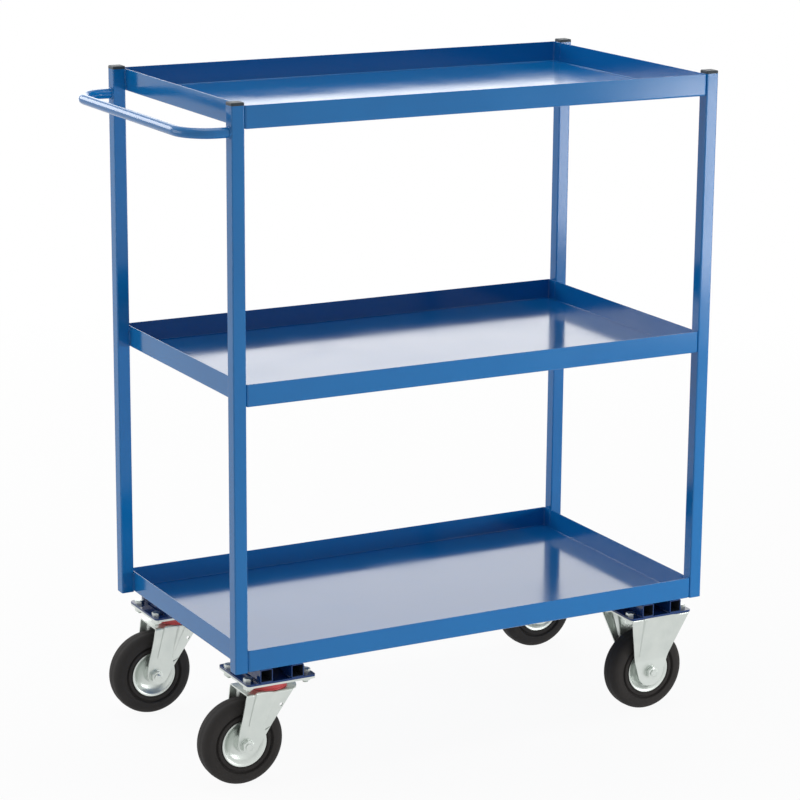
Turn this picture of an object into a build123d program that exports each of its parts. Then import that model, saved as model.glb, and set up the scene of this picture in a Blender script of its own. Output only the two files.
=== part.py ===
from build123d import *
import os

# Shelf trolley: three trays welded between four posts, a push handle and four castors.
# Millimetres. +X runs from the handle end to the fixed castors, +Y to the pusher's left, +Z up.
# The origin lies on the floor, below the middle of the trolley's overall box.

# Frame of square tube
frame_length = 800.0  # over the posts, along X
frame_width = 440.0  # over the posts, along Y
post_length = 820.0
tube_side = 20.0
tube_wall = 1.5
tube_corner = 2.0

# Folded trays
tray_rim = 33.0
tray_sheet = 1.5
tray_bend = 3.0  # outer radius of the fold at the floor
tray_corner = 4.0  # outer radius of the upright corners

# Push handle of round tube
handle_tube = 15.0
handle_wall = 1.5
handle_reach = 60.0  # from the posts' faces to the bar's axis
handle_bend = 48.0
handle_drop = 37.0  # from the posts' tops to the bar's axis

# Push-in caps of the posts
cap_head = 4.5
cap_round = 1.5
cap_core = 12.0
cap_plug = 15.0
cap_fin = 1.4
cap_fins = 3
plug_clearance = 0.15

# Castor mounting under the bottom tray
plate_length = 110.0
plate_width = 102.0
plate_corner = 5.0
mount_sheet = 3.0
riser_spacing = 50.0
hole_spacing_x = 92.0
hole_spacing_y = 67.0
swivel_inset = 55.0  # from the tray's rear end to the swivel axis
fixed_inset = 50.0  # from the tray's front end to the fixed castor's middle
castor_inset_y = 53.0  # from the trolley's side to the wheel's middle

# Castors
castor_head = 34.5  # from the wheel's top to the castor's top
castor_trail = 45.0  # from the swivel axis to the axle
plate_sheet = 3.0
fork_sheet = 2.5
tyre_clearance = 4.0  # between the tyre's sides and the fork's legs
fork_margin = 40.0  # by which a leg's sheet is drawn larger before it is cut to its outline
swivel_plate_drop = 20.5  # from the castor's top to the top of the fork's crown
swivel_front = 43.0  # from the swivel axis to the crown's rounded front
swivel_leg_end = 18.0  # radius of the leg's lower end
swivel_end_shift_x = 4.0  # from the axle to the middle of the leg's lower end
swivel_end_shift_z = 3.0
leg_flat = 24.0  # height above the axle at which the pressed channel has run out
channel_lean = 12.0  # by which the swivel leg's folds lean back on their way down
channel_end = 0.05  # depth that is left of the channel where it has run out
leg_hole = 5.0
leg_hole_x = 9.0  # from the swivel axis
leg_hole_drop = 23.0  # below the crown's top
fixed_leg_inset = 3.0  # from the plate's ends to the legs' upper ends
fixed_leg_end = 23.0

# Channel pressed into each fork leg. It folds along X at: back edge, flange, web, web, flange, front edge
swivel_channel_x = (-46.0, -33.0, -29.0, -5.0, 3.0, 29.0)  # from the swivel axis
swivel_channel_depth = 6.0
fixed_channel_x = (-plate_length / 2, -32.0, -22.0, 22.0, 32.0, plate_length / 2)  # from the plate's middle
fixed_channel_depth = 8.0

# Swivel head
pin_dia = 12.0
pin_head_dia = 20.0
pin_head = 6.0
pin_end = 2.0  # by which the pin stands out of its nut
king_nut_flats = 19.0
king_nut = 9.0
thrust_dia = 26.0
thrust_sheet = 2.5
ball_dia = 6.0
ball_circle = 34.0
balls = 8
ball_clearance = 0.05
race_gap = 3.5  # between the top plate's cup and the fork's dish
dish_rise = 3.8
dish_top_r = 22.5
dish_foot_r = 25.0
cup_top_r = 25.5
seal_r = 27.5
seal_wall = 1.5
seal_lip = 1.5
running_clearance = 0.06
axial_clearance = 0.3

# Wheels
wheel_dia = 130.0
tyre_width = 37.0
tyre_shoulder = 12.0
tyre_step_r = 40.5
tyre_step_slope = 2.0
rim_lip_r = 35.6
lip_foot_r = 33.0
rim_inset = 1.1  # from the tyre's side to the lip's face
rim_sheet = 1.8
dish_depth = 6.9  # from the lip's face in to the dished centre's face
dish_floor_r = 23.0
hub_r = 14.0
hub_clearance = 0.5  # between the hub's ends and the fork's legs
bush_r = 12.0
bush_inset = 1.0  # from the hub's ends to the bush's
sleeve_r = 7.5
fit_clearance = 0.05

# Fasteners
bolt_dia = 8.0
bolt_flats = 13.0
bolt_head = 5.3
bolt_end = 3.0
nut_height = 6.8
hole_clearance = 0.5
axle_dia = 10.0
axle_flats = 17.0
axle_head = 6.4
axle_nut = 8.0
axle_end = 3.0
axle_clearance = 0.1

# Places that follow from the sizes above
tube_bore = tube_side - 2 * tube_wall
tray_length = frame_length - 2 * tube_side
frame_x = (handle_reach + handle_tube / 2) / 2
castor_height = wheel_dia + castor_head
deck_z = castor_height + mount_sheet + tube_side
post_top = deck_z + post_length
axle_z = wheel_dia / 2
castor_y = frame_width / 2 - castor_inset_y
swivel_x = frame_x - tray_length / 2 + swivel_inset
fixed_x = frame_x + tray_length / 2 - fixed_inset
fork_gap = tyre_width + 2 * tyre_clearance
web_y = fork_gap / 2 + fork_sheet
swivel_flange_y = web_y + swivel_channel_depth
fixed_flange_y = plate_width / 2
rim_width = tyre_width - 2 * rim_inset
dish_floor = rim_width / 2 - dish_depth
hub_length = fork_gap - 2 * hub_clearance
bush_length = hub_length - 2 * bush_inset
crown_z = castor_height - swivel_plate_drop
dish_z = crown_z + dish_rise
ball_z = dish_z + race_gap / 2
cup_z = dish_z + race_gap
thrust_z = dish_z - fork_sheet - axial_clearance
bolt_hole_r = bolt_dia / 2 + hole_clearance
axle_hole_r = axle_dia / 2 + axle_clearance

ends = {"rear": -1, "front": 1}
sides = {"right": -1, "left": 1}
castors = {
    f"{kind}_{side}": (x, way * castor_y)
    for kind, x in (("swivel", swivel_x), ("fixed", fixed_x))
    for side, way in sides.items()
}
axles = {
    name: (x - castor_trail if name.startswith("swivel") else x, y)
    for name, (x, y) in castors.items()
}

os.makedirs("parts", exist_ok=True)


def hexagon(flats):
    """A hexagon of the given width across its flats."""
    RegularPolygon(flats / 2, 6, major_radius=False)


# Posts: square tubes from the bottom tray's underside to the top tray's rim.
post_places = {
    f"{end}_{side}": (
        frame_x + along * (frame_length - tube_side) / 2,
        across * (frame_width - tube_side) / 2,
    )
    for end, along in ends.items()
    for side, across in sides.items()
}
for corner, place in post_places.items():
    with BuildPart() as post:
        with BuildSketch(Plane.XY.offset(deck_z)):
            with Locations(place):
                RectangleRounded(tube_side, tube_side, tube_corner)
                RectangleRounded(tube_bore, tube_bore, tube_corner - tube_wall, mode=Mode.SUBTRACT)
        extrude(amount=post_length)
    post.part.label = f"post_{corner}"
    export_step(post.part, f"parts/post_{corner}.step")

# Post caps: plastic plugs with a rounded head and gripping fins, one in the top of each post.
with BuildPart() as post_caps:
    with BuildSketch(Plane.XY.offset(post_top)):
        with Locations(*post_places.values()):
            RectangleRounded(tube_side, tube_side, tube_corner)
    extrude(amount=cap_head)
    fillet(post_caps.faces().group_by(Axis.Z)[-1].edges(), cap_round)
    with BuildSketch(Plane.XY.offset(post_top)):
        with Locations(*post_places.values()):
            Rectangle(cap_core, cap_core)
    extrude(amount=-cap_plug)
    fin_side = tube_bore - 2 * plug_clearance
    for fin in range(cap_fins):
        with BuildSketch(Plane.XY.offset(post_top - cap_plug * (fin + 1) / cap_fins)):
            with Locations(*post_places.values()):
                Rectangle(fin_side, fin_side)
        extrude(amount=cap_fin)
post_caps.part.label = "post_caps"
export_step(post_caps.part, "parts/post_caps.step")

# Trays: sheet folded up on four sides, flush with the posts at front and back and welded between them.
tray_levels = {
    "bottom": deck_z,
    "middle": deck_z + (post_length - tray_rim) / 2,
    "top": post_top - tray_rim,
}
for level, floor_z in tray_levels.items():
    with BuildPart() as tray:
        with BuildSketch(Plane.XY.offset(floor_z)):
            with Locations((frame_x, 0)):
                RectangleRounded(tray_length, frame_width, tray_corner)
        extrude(amount=tray_rim)
        fillet(tray.faces().sort_by(Axis.Z)[0].edges(), tray_bend)
        offset(amount=-tray_sheet, openings=tray.faces().sort_by(Axis.Z)[-1])
    tray.part.label = f"{level}_tray"
    export_step(tray.part, f"parts/{level}_tray.step")

# Push handle: one round tube bent twice, its two ends butted against the rear posts.
post_face_x = frame_x - frame_length / 2
bar_x = post_face_x - handle_reach
leg_y = (frame_width - tube_side) / 2
with BuildPart() as push_handle:
    with BuildLine(Plane.XY.offset(post_top - handle_drop)) as route:
        FilletPolyline(
            (post_face_x, -leg_y),
            (bar_x, -leg_y),
            (bar_x, leg_y),
            (post_face_x, leg_y),
            radius=handle_bend,
        )
    with BuildSketch(Plane(origin=route.line @ 0, z_dir=route.line % 0)):
        Circle(handle_tube / 2)
        Circle(handle_tube / 2 - handle_wall, mode=Mode.SUBTRACT)
    sweep(path=route.line)
push_handle.part.label = "push_handle"
export_step(push_handle.part, "parts/push_handle.step")

# Castor risers: two short square tubes side by side under the bottom tray, over each castor.
for name, (x, y) in castors.items():
    with BuildPart() as risers:
        with BuildSketch(Plane(origin=(x, y, deck_z - tube_side / 2), x_dir=(1, 0, 0), z_dir=(0, 1, 0))):
            with GridLocations(riser_spacing, 0, 2, 1):
                RectangleRounded(tube_side, tube_side, tube_corner)
                RectangleRounded(tube_bore, tube_bore, tube_corner - tube_wall, mode=Mode.SUBTRACT)
        extrude(amount=plate_width / 2, both=True)
    risers.part.label = f"risers_{name}"
    export_step(risers.part, f"parts/risers_{name}.step")

# Mounting plates: painted plates welded under the risers, drilled for the castors.
for name, place in castors.items():
    with BuildPart() as mounting_plate:
        with BuildSketch(Plane.XY.offset(castor_height)):
            with Locations(place):
                RectangleRounded(plate_length, plate_width, plate_corner)
                with GridLocations(hole_spacing_x, hole_spacing_y, 2, 2):
                    Circle(bolt_hole_r, mode=Mode.SUBTRACT)
        extrude(amount=mount_sheet)
    mounting_plate.part.label = f"mounting_plate_{name}"
    export_step(mounting_plate.part, f"parts/mounting_plate_{name}.step")

# Castor bolts: hexagon bolts pushed down through mounting plate and castor.
bolt_seat = castor_height + mount_sheet
nut_seat = castor_height - plate_sheet
with BuildPart() as castor_bolts:
    with BuildSketch(Plane.XY.offset(bolt_seat)):
        with Locations(*castors.values()):
            with GridLocations(hole_spacing_x, hole_spacing_y, 2, 2):
                hexagon(bolt_flats)
    extrude(amount=bolt_head)
    with BuildSketch(Plane.XY.offset(bolt_seat)):
        with Locations(*castors.values()):
            with GridLocations(hole_spacing_x, hole_spacing_y, 2, 2):
                Circle(bolt_dia / 2)
    extrude(amount=nut_seat - nut_height - bolt_end - bolt_seat)
castor_bolts.part.label = "castor_bolts"
export_step(castor_bolts.part, "parts/castor_bolts.step")

# Castor nuts: hexagon nuts under the castors' plates.
with BuildPart() as castor_nuts:
    with BuildSketch(Plane.XY.offset(nut_seat)):
        with Locations(*castors.values()):
            with GridLocations(hole_spacing_x, hole_spacing_y, 2, 2):
                hexagon(bolt_flats)
                Circle(bolt_dia / 2 + fit_clearance, mode=Mode.SUBTRACT)
    extrude(amount=-nut_height)
castor_nuts.part.label = "castor_nuts"
export_step(castor_nuts.part, "parts/castor_nuts.step")


def ring_plane(x, y):
    """The half plane of a ring turned about the upright axis at x, y: radius across, height up."""
    return Plane(origin=(x, y, 0), x_dir=(1, 0, 0), z_dir=(0, -1, 0))


def upright(x, y):
    """The upright axis at x, y."""
    return Axis((x, y, 0), (0, 0, 1))


def ball_race(x, y):
    """The section of the square groove that the ring of balls runs in."""
    with BuildSketch(ring_plane(x, y)) as race:
        with Locations((ball_circle / 2, ball_z)):
            Rectangle(ball_dia + 2 * ball_clearance, ball_dia + 2 * ball_clearance)
    return race.sketch


# Swivel top plates: drilled plates with a cup pressed down in the middle for the king pin's head.
for side in sides:
    x, y = castors[f"swivel_{side}"]
    with BuildPart() as top_plate:
        with BuildSketch(Plane.XY.offset(castor_height)):
            with Locations((x, y)):
                RectangleRounded(plate_length, plate_width, plate_corner)
                Circle(cup_top_r, mode=Mode.SUBTRACT)
                with GridLocations(hole_spacing_x, hole_spacing_y, 2, 2):
                    Circle(bolt_hole_r, mode=Mode.SUBTRACT)
        extrude(amount=-plate_sheet)
        with BuildSketch(ring_plane(x, y)):
            with BuildLine():
                Polyline(
                    (cup_top_r, castor_height),
                    (cup_top_r, castor_height - plate_sheet),
                    (dish_top_r, cup_z),
                    (pin_dia / 2 + fit_clearance, cup_z),
                    (pin_dia / 2 + fit_clearance, cup_z + plate_sheet),
                    (dish_top_r - plate_sheet, cup_z + plate_sheet),
                    (cup_top_r - plate_sheet, castor_height),
                    close=True,
                )
            make_face()
        revolve(axis=upright(x, y))
        revolve(ball_race(x, y), axis=upright(x, y), mode=Mode.SUBTRACT)
    top_plate.part.label = f"swivel_plate_{side}"
    export_step(top_plate.part, f"parts/swivel_plate_{side}.step")

# King pins: headed pins that hang each swivel fork under its top plate.
for side in sides:
    x, y = castors[f"swivel_{side}"]
    pin_foot = thrust_z - thrust_sheet - king_nut - pin_end
    with BuildPart() as king_pin:
        with BuildSketch(Plane.XY.offset(cup_z + plate_sheet)):
            with Locations((x, y)):
                Circle(pin_head_dia / 2)
        extrude(amount=pin_head)
        with BuildSketch(Plane.XY.offset(pin_foot)):
            with Locations((x, y)):
                Circle(pin_dia / 2)
        extrude(amount=cup_z + plate_sheet - pin_foot)
    king_pin.part.label = f"king_pin_{side}"
    export_step(king_pin.part, f"parts/king_pin_{side}.step")

swivel_places = [castors[f"swivel_{side}"] for side in sides]

# Thrust washers: hardened washers that carry the forks' weight on the king nuts.
with BuildPart() as thrust_washers:
    with BuildSketch(Plane.XY.offset(thrust_z)):
        with Locations(*swivel_places):
            Circle(thrust_dia / 2)
            Circle(pin_dia / 2 + fit_clearance, mode=Mode.SUBTRACT)
    extrude(amount=-thrust_sheet)
thrust_washers.part.label = "thrust_washers"
export_step(thrust_washers.part, "parts/thrust_washers.step")

# King nuts: hexagon nuts on the lower ends of the king pins.
with BuildPart() as king_nuts:
    with BuildSketch(Plane.XY.offset(thrust_z - thrust_sheet)):
        with Locations(*swivel_places):
            hexagon(king_nut_flats)
            Circle(pin_dia / 2 + fit_clearance, mode=Mode.SUBTRACT)
    extrude(amount=-king_nut)
king_nuts.part.label = "king_nuts"
export_step(king_nuts.part, "parts/king_nuts.step")

# Swivel balls: a ring of steel balls between each top plate's cup and its fork's dish.
with BuildPart() as swivel_balls:
    for x, y in swivel_places:
        with Locations((x, y, ball_z)):
            with PolarLocations(ball_circle / 2, balls):
                Sphere(ball_dia / 2)
swivel_balls.part.label = "swivel_balls"
export_step(swivel_balls.part, "parts/swivel_balls.step")

# Swivel seals: plastic skirts round the ball rings, from the top plate down to the fork's crown.
for side in sides:
    x, y = castors[f"swivel_{side}"]
    seal_foot = crown_z + axial_clearance
    with BuildPart() as seal:
        with BuildSketch(ring_plane(x, y)):
            with BuildLine():
                Polyline(
                    (seal_r, castor_height - plate_sheet),
                    (seal_r - seal_wall, castor_height - plate_sheet),
                    (seal_r - seal_wall, seal_foot),
                    (seal_r + seal_lip, seal_foot),
                    (seal_r + seal_lip, seal_foot + seal_lip),
                    (seal_r, seal_foot + 2 * seal_lip),
                    close=True,
                )
            make_face()
        revolve(axis=upright(x, y))
    seal.part.label = f"swivel_seal_{side}"
    export_step(seal.part, f"parts/swivel_seal_{side}.step")


def inner_line(outer, sheet):
    """The line one sheet to the left of an open line, mitred at its bends."""
    points = [Vector(*point) for point in outer]
    runs = [(after - before).normalized() for before, after in zip(points, points[1:])]
    normals = [Vector(-run.Y, run.X) for run in runs]
    normals = [normals[0], *normals, normals[-1]]
    shifts = [
        (before + after) * (sheet / (1 + before.dot(after)))
        for before, after in zip(normals, normals[1:])
    ]
    return [(point.X + shift.X, point.Y + shift.Y) for point, shift in zip(points, shifts)]


def channel_line(x, y, stations, flange_y, depth):
    """The outer line of the right-hand leg: flanges standing out on both sides of a sunk web."""
    sunk_y = flange_y - depth
    reaches = (flange_y, flange_y, sunk_y, sunk_y, flange_y, flange_y)
    return [(x + station, y - reach) for station, reach in zip(stations, reaches)]


def leg_sections(x, y, top_z, stations, flange_y, depth, lean):
    """Sections of the right-hand leg before it is cut out: a channel that runs out above the axle."""
    back, back_fold, back_web, front_web, front_fold, front = stations
    shrink = channel_end / depth
    run_out = (
        back - fork_margin - lean,
        back_web - (back_web - back_fold) * shrink - lean,
        back_web - lean,
        front_web - lean,
        front_web + (front_fold - front_web) * shrink - lean,
        front + fork_margin - lean,
    )
    widened = (back - fork_margin, *stations[1:-1], front + fork_margin)
    flat_line = channel_line(x, y, run_out, web_y + channel_end, channel_end)
    top_line = channel_line(x, y, widened, flange_y, depth)
    levels = ((axle_z - leg_flat, flat_line), (axle_z + leg_flat, flat_line), (top_z, top_line))
    sections = []
    for height, line in levels:
        with BuildSketch(Plane.XY.offset(height)) as section:
            Polygon(*line, *reversed(inner_line(line, fork_sheet)), align=None)
        sections.append(section.sketch)
    return sections


def axle_hole(x, y):
    """The hole for the axle bolt through both legs."""
    with BuildSketch(Plane(origin=(x, y, axle_z), z_dir=(0, 1, 0))) as hole:
        Circle(axle_hole_r)
    return hole.sketch


# Swivel forks: pressed sheet with a round-fronted crown, a raised ball dish and two trailing legs.
for side in sides:
    x, y = castors[f"swivel_{side}"]
    axle_x = axles[f"swivel_{side}"][0]
    crown_back, crown_front = swivel_channel_x[0], swivel_channel_x[-1]
    channel = (swivel_channel_x, swivel_flange_y, swivel_channel_depth)
    sections = leg_sections(x, y, crown_z, *channel, channel_lean)
    with BuildPart() as fork:
        loft(sections, ruled=True)
        with BuildSketch(Plane.XZ.offset(-y)):
            with Locations((axle_x + swivel_end_shift_x, axle_z + swivel_end_shift_z)):
                Circle(swivel_leg_end)
            with Locations((x + crown_back, crown_z)):
                Rectangle(crown_front - crown_back, fork_sheet, align=(Align.MIN, Align.MAX))
            make_hull()
        extrude(amount=plate_width, mode=Mode.INTERSECT)
        with BuildSketch(Plane.XZ.offset(-y)):
            with Locations((x + leg_hole_x, crown_z - leg_hole_drop)):
                Circle(leg_hole / 2)
        extrude(amount=plate_width, mode=Mode.SUBTRACT)
        mirror(about=Plane.XZ.offset(-y))
        near_edge = channel_line(x, y, *channel)
        far_edge = [(px, 2 * y - py) for px, py in reversed(near_edge)]
        with BuildSketch(Plane.XY.offset(crown_z)):
            with BuildLine():
                Polyline(*near_edge)
                ThreePointArc(near_edge[-1], (x + swivel_front, y), far_edge[0])
                Polyline(*far_edge, near_edge[0])
            make_face()
            with Locations((x, y)):
                Circle(dish_foot_r, mode=Mode.SUBTRACT)
        extrude(amount=-fork_sheet)
        with BuildSketch(ring_plane(x, y)):
            with BuildLine():
                Polyline(
                    (dish_foot_r, crown_z),
                    (dish_top_r, dish_z),
                    (pin_dia / 2 + running_clearance, dish_z),
                    (pin_dia / 2 + running_clearance, dish_z - fork_sheet),
                    (dish_top_r - fork_sheet, dish_z - fork_sheet),
                    (dish_foot_r - fork_sheet, crown_z - fork_sheet),
                    (dish_foot_r, crown_z - fork_sheet),
                    close=True,
                )
            make_face()
        revolve(axis=upright(x, y))
        revolve(ball_race(x, y), axis=upright(x, y), mode=Mode.SUBTRACT)
        extrude(axle_hole(axle_x, y), amount=plate_width, both=True, mode=Mode.SUBTRACT)
    fork.part.label = f"swivel_fork_{side}"
    export_step(fork.part, f"parts/swivel_fork_{side}.step")

# Fixed forks: plate and both legs in one pressing, the legs leaning out to the plate's long edges.
for side in sides:
    x, y = castors[f"fixed_{side}"]
    channel = (fixed_channel_x, fixed_flange_y, fixed_channel_depth)
    sections = leg_sections(x, y, castor_height, *channel, 0)
    with BuildPart() as fork:
        loft(sections, ruled=True)
        with BuildSketch(Plane.XZ.offset(-y)):
            with Locations((x, axle_z)):
                Circle(fixed_leg_end)
            with Locations((x, castor_height)):
                leg_top = plate_length - 2 * fixed_leg_inset
                Rectangle(leg_top, plate_sheet, align=(Align.CENTER, Align.MAX))
            make_hull()
        extrude(amount=plate_width, mode=Mode.INTERSECT)
        mirror(about=Plane.XZ.offset(-y))
        near_edge = channel_line(x, y, *channel)
        far_edge = [(px, 2 * y - py) for px, py in reversed(near_edge)]
        with BuildSketch(Plane.XY.offset(castor_height)):
            with BuildLine():
                Polyline(*near_edge, *far_edge, close=True)
            make_face()
            plate_ends = vertices().group_by(Axis.X)
            fillet(plate_ends[0] + plate_ends[-1], plate_corner)
            with Locations((x, y)):
                with GridLocations(hole_spacing_x, hole_spacing_y, 2, 2):
                    Circle(bolt_hole_r, mode=Mode.SUBTRACT)
        extrude(amount=-plate_sheet)
        extrude(axle_hole(x, y), amount=plate_width, both=True, mode=Mode.SUBTRACT)
    fork.part.label = f"fixed_fork_{side}"
    export_step(fork.part, f"parts/fixed_fork_{side}.step")


def wheel_plane(x, y):
    """The half plane of a ring turned about an axle: along the axle across, radius up."""
    return Plane(origin=(x, y, axle_z), x_dir=(0, 1, 0), z_dir=(1, 0, 0))


def axle_axis(x, y):
    """The axis of an axle."""
    return Axis((x, y, axle_z), (0, 1, 0))


# Line of the pressed wheel disc's outer face, from the hub out to the lip
disc_line = (
    (dish_floor, bush_r + fit_clearance),
    (dish_floor, dish_floor_r),
    (rim_width / 2, lip_foot_r),
    (rim_width / 2, rim_lip_r),
)

# Tyres: solid rubber with round shoulders and a stepped sidewall, its foot held between the discs.
for name, (x, y) in axles.items():
    seat = inner_line(disc_line, rim_sheet + fit_clearance)
    with BuildPart() as tyre:
        with BuildSketch(wheel_plane(x, y)):
            with BuildLine():
                Polyline(
                    (0, seat[1][1]),
                    *seat[1:-1],
                    (seat[-1][0], tyre_step_r),
                    (tyre_width / 2, tyre_step_r + tyre_step_slope),
                    (tyre_width / 2, wheel_dia / 2),
                    (0, wheel_dia / 2),
                    close=True,
                )
            make_face()
            fillet(vertices().group_by(Axis.Y)[-1].sort_by(Axis.X)[-1], tyre_shoulder)
            mirror(about=Plane.YZ)
        revolve(axis=axle_axis(x, y))
    tyre.part.label = f"tyre_{name}"
    export_step(tyre.part, f"parts/tyre_{name}.step")

# Rims: two dished sheet discs welded to a hub tube.
for name, (x, y) in axles.items():
    with BuildPart() as rim:
        with BuildSketch(wheel_plane(x, y)):
            Polygon(*disc_line, *reversed(inner_line(disc_line, rim_sheet)), align=None)
            mirror(about=Plane.YZ)
            with Locations((0, bush_r + fit_clearance)):
                Rectangle(hub_length, hub_r - bush_r - fit_clearance, align=(Align.CENTER, Align.MIN))
        revolve(axis=axle_axis(x, y))
    rim.part.label = f"rim_{name}"
    export_step(rim.part, f"parts/rim_{name}.step")

# Bushes: plain bearings pressed into the hubs.
for name, (x, y) in axles.items():
    with BuildPart() as bush:
        with BuildSketch(Plane(origin=(x, y, axle_z), z_dir=(0, 1, 0))):
            Circle(bush_r)
            Circle(sleeve_r + running_clearance, mode=Mode.SUBTRACT)
        extrude(amount=bush_length / 2, both=True)
    bush.part.label = f"bush_{name}"
    export_step(bush.part, f"parts/bush_{name}.step")

# Axle sleeves: steel tubes clamped between the legs, on which the bushes turn.
for name, (x, y) in axles.items():
    with BuildPart() as axle_sleeve:
        with BuildSketch(Plane(origin=(x, y, axle_z), z_dir=(0, 1, 0))):
            Circle(sleeve_r)
            Circle(axle_hole_r, mode=Mode.SUBTRACT)
        extrude(amount=fork_gap / 2, both=True)
    axle_sleeve.part.label = f"axle_sleeve_{name}"
    export_step(axle_sleeve.part, f"parts/axle_sleeve_{name}.step")

# Axle bolts: hexagon bolts through both legs and the sleeve, heads on the left. The fixed pair is one node.
seat_y = web_y + channel_end
axle_groups = {
    "swivel_right": [axles["swivel_right"]],
    "swivel_left": [axles["swivel_left"]],
    "fixed": [axles["fixed_right"], axles["fixed_left"]],
}
for name, places in axle_groups.items():
    with BuildPart() as axle_bolts:
        for x, y in places:
            with BuildSketch(Plane(origin=(x, y + seat_y, axle_z), z_dir=(0, 1, 0))):
                hexagon(axle_flats)
            extrude(amount=axle_head)
            with BuildSketch(Plane(origin=(x, y + seat_y, axle_z), z_dir=(0, -1, 0))):
                Circle(axle_dia / 2)
            extrude(amount=2 * seat_y + axle_nut + axle_end)
    axle_bolts.part.label = f"axle_bolt_{name}"
    export_step(axle_bolts.part, f"parts/axle_bolt_{name}.step")

# Axle nuts: hexagon nuts on the right-hand ends of the axle bolts.
for name, places in axle_groups.items():
    with BuildPart() as axle_nuts:
        for x, y in places:
            with BuildSketch(Plane(origin=(x, y - seat_y, axle_z), z_dir=(0, -1, 0))):
                hexagon(axle_flats)
                Circle(axle_dia / 2 + fit_clearance, mode=Mode.SUBTRACT)
            extrude(amount=axle_nut)
    axle_nuts.part.label = f"axle_nut_{name}"
    export_step(axle_nuts.part, f"parts/axle_nut_{name}.step")
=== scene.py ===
import math

import bmesh
import bpy
from mathutils import Matrix, Vector


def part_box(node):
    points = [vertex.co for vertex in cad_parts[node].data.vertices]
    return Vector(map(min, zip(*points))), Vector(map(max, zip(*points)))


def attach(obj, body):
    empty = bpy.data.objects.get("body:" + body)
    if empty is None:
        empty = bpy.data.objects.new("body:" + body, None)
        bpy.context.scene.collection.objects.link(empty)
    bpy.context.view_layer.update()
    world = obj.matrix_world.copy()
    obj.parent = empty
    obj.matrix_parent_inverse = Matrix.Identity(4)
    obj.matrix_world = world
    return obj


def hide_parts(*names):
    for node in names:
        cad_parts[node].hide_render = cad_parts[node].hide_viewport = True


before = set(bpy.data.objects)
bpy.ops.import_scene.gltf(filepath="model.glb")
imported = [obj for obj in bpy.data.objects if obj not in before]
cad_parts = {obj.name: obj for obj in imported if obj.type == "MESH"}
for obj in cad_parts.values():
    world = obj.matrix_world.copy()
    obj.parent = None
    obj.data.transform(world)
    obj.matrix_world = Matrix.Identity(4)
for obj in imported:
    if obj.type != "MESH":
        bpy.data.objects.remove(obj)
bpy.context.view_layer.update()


# Posts: four lengths of cold-formed square steel tube with rounded corners. They stand at the trolley's
# corners, the trays are welded between them, and the welded frame is powder coated blue as one piece.
mm = 0.001
tube_wall = 1.5 * mm
tube_corner = 2 * mm
tube_along = 2
powder_blue = "#0C6BAE"
powder_blue_thin = "#1073B6"
peel_width = 6 * mm
film_drift = 120 * mm
sharp_angle = math.radians(35)


def linear(colour):
    """An sRGB hex colour as the linear values that a shader takes."""
    parts = [int(colour[place : place + 2], 16) / 255 for place in (1, 3, 5)]
    return [*(part / 12.92 if part <= 0.04045 else ((part + 0.055) / 1.055) ** 2.4 for part in parts), 1]


def add_node(tree, kind, inputs=None, **settings):
    """Adds a node with its settings, and gives its sockets values or links from other nodes' sockets."""
    made = tree.nodes.new(kind)
    for name, value in settings.items():
        setattr(made, name, value)
    for name, value in (inputs or {}).items():
        if isinstance(value, bpy.types.NodeSocket):
            tree.links.new(value, made.inputs[name])
        else:
            made.inputs[name].default_value = value
    return made


def new_finish(name):
    """An empty material and its node tree."""
    made = bpy.data.materials.new(name)
    made.use_nodes = True
    made.node_tree.nodes.clear()
    return made, made.node_tree


# Gloss powder coat: an even film of pigment under a clear skin, a little paler where the film is thin. Its
# orange peel, some 2 mm wide and drawn three times as coarse so that it shows, softens reflections.
def powder_finish(name, thick, thin):
    """A gloss powder coat from its colours where the film is thick and where it is thin."""
    made, tree = new_finish(name)
    place = add_node(tree, "ShaderNodeTexCoord").outputs["Object"]
    peel = add_node(tree, "ShaderNodeTexNoise", {"Vector": place, "Scale": 1 / peel_width, "Detail": 1.5})
    drift = add_node(tree, "ShaderNodeTexNoise", {"Vector": place, "Scale": 1 / film_drift, "Detail": 3})
    film = add_node(
        tree,
        "ShaderNodeMix",
        {0: drift.outputs["Fac"], 6: linear(thick), 7: linear(thin)},
        data_type="RGBA",
    )
    gloss = add_node(
        tree,
        "ShaderNodeMapRange",
        {"Value": drift.outputs["Fac"], "From Min": 0.3, "From Max": 0.7, "To Min": 0.1, "To Max": 0.17},
    )
    skin = add_node(
        tree, "ShaderNodeBump", {"Height": peel.outputs["Fac"], "Strength": 0.35, "Distance": 0.03 * mm}
    )
    paint = add_node(
        tree,
        "ShaderNodeBsdfPrincipled",
        {
            "Base Color": film.outputs[2],
            "Roughness": gloss.outputs["Result"],
            "IOR": 1.43,
            "Normal": skin.outputs["Normal"],
        },
    )
    add_node(tree, "ShaderNodeOutputMaterial", {"Surface": paint.outputs["BSDF"]})
    return made


powder_coat = powder_finish("blue_powder_coat", powder_blue, powder_blue_thin)

# Mill scale: the dark grey oxide that rolling leaves on steel. It shows inside the tubes, where powder
# hardly reaches, dull and in uneven patches with a little blue dust.
scale_dark = "#1B1C20"
scale_dusted = "#222A38"
scale_patch = 8 * mm
mill_scale, tree = new_finish("mill_scale_steel")
place = add_node(tree, "ShaderNodeTexCoord").outputs["Object"]
patches = add_node(tree, "ShaderNodeTexNoise", {"Vector": place, "Scale": 1 / scale_patch, "Detail": 4})
oxide = add_node(
    tree,
    "ShaderNodeMix",
    {0: patches.outputs["Fac"], 6: linear(scale_dark), 7: linear(scale_dusted)},
    data_type="RGBA",
)
bare = add_node(
    tree, "ShaderNodeBsdfPrincipled", {"Base Color": oxide.outputs[2], "Roughness": 0.6, "IOR": 1.45}
)
add_node(tree, "ShaderNodeOutputMaterial", {"Surface": bare.outputs["BSDF"]})


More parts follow.
